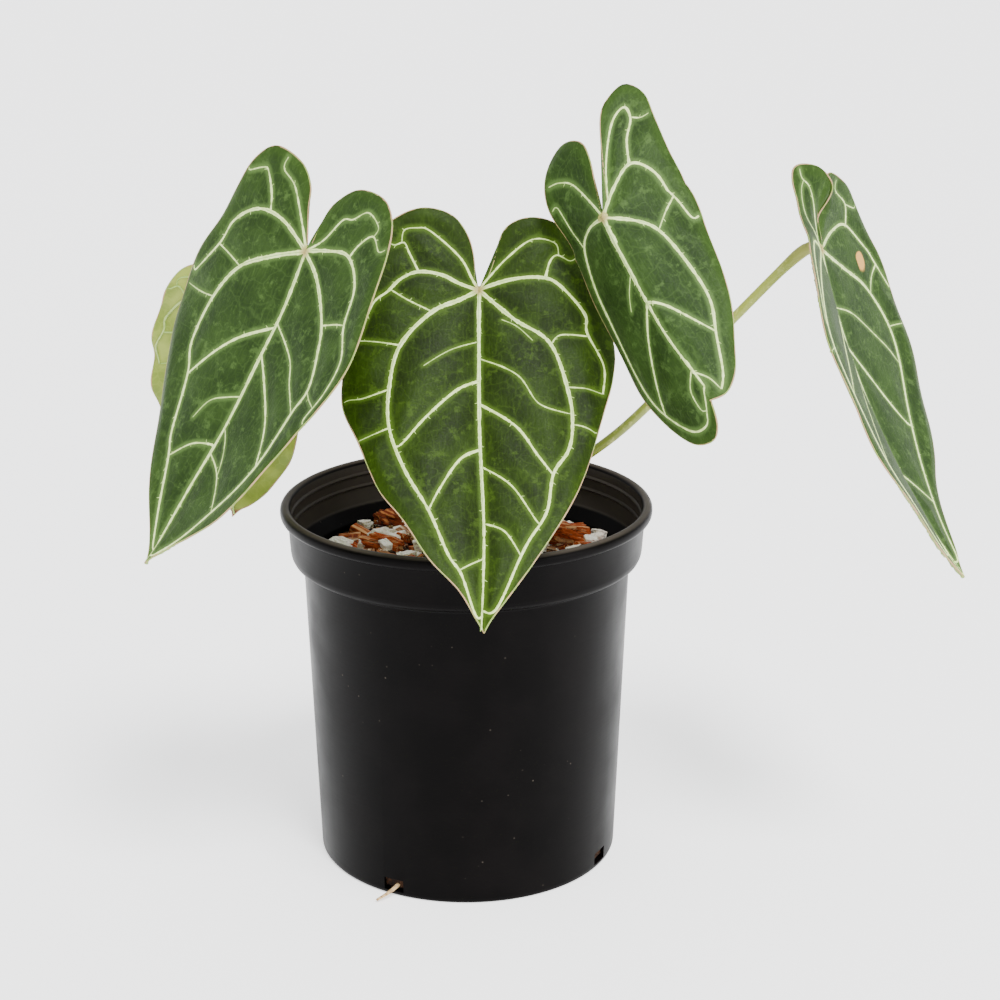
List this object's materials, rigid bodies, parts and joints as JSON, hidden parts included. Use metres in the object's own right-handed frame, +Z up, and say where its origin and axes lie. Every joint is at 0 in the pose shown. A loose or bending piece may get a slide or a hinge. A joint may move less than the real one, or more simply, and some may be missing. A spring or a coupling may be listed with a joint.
{
  "type": "potted foliage plant",
  "caption": "Velvet-leaved plant with large heart-shaped blades on long stalks, standing in a round plastic nursery pot with a deep collar.",
  "frame": {"origin": "centre of the pot's flat underside, on the pot's axis", "axes": "+Z up along the pot's axis, -Y towards the viewer of the picture, +X to the viewer's right"},
  "size_m": [0.3242, 0.1962, 0.3251],
  "materials": {
    "black_plastic": "thin injection-moulded polypropylene, satin black",
    "mix_brown": "moist fine bark and coir, dark brown, matt",
    "bark_orange_brown": "dry fibrous conifer bark chips",
    "pumice_cream_white": "porous pumice and perlite grains, matt",
    "stem_green_brown": "ringed living stem, brown-green",
    "petiole_olive": "smooth living stalk, olive green",
    "blade_deep_green": "velvety living leaf, deep green with pale veins",
    "blade_back_yellow_green": "underside of a paler leaf, yellow-green",
    "root_straw": "dry root end, straw coloured"
  },
  "bodies": {
    "root": {"pot": "black_plastic", "potting_mix": "mix_brown", "stem": "stem_green_brown", "new_leaf_sheath": "petiole_olive", "blade_front": "blade_deep_green", "blade_left": "blade_deep_green", "blade_right": "blade_deep_green", "blade_far_right": "blade_deep_green", "blade_back": "blade_back_yellow_green", "petiole_front": "petiole_olive", "petiole_left": "petiole_olive", "petiole_right": "petiole_olive", "petiole_far_right": "petiole_olive", "petiole_back": "petiole_olive", "bark_rust": "bark_orange_brown", "bark_tan": "bark_orange_brown", "bark_orange": "bark_orange_brown", "bark_pink": "bark_orange_brown", "bark_big": "bark_orange_brown", "bark_tan_right": "bark_orange_brown", "bark_dark": "bark_orange_brown", "bark_front": "bark_orange_brown", "pumice_white": "pumice_cream_white", "pumice_cream": "pumice_cream_white", "pumice_right": "pumice_cream_white", "pumice_front": "pumice_cream_white", "perlite_a": "pumice_cream_white", "perlite_b": "pumice_cream_white", "perlite_c": "pumice_cream_white", "pebble_grey": "pumice_cream_white", "root_tip": "root_straw"}
  },
  "joints": []
}
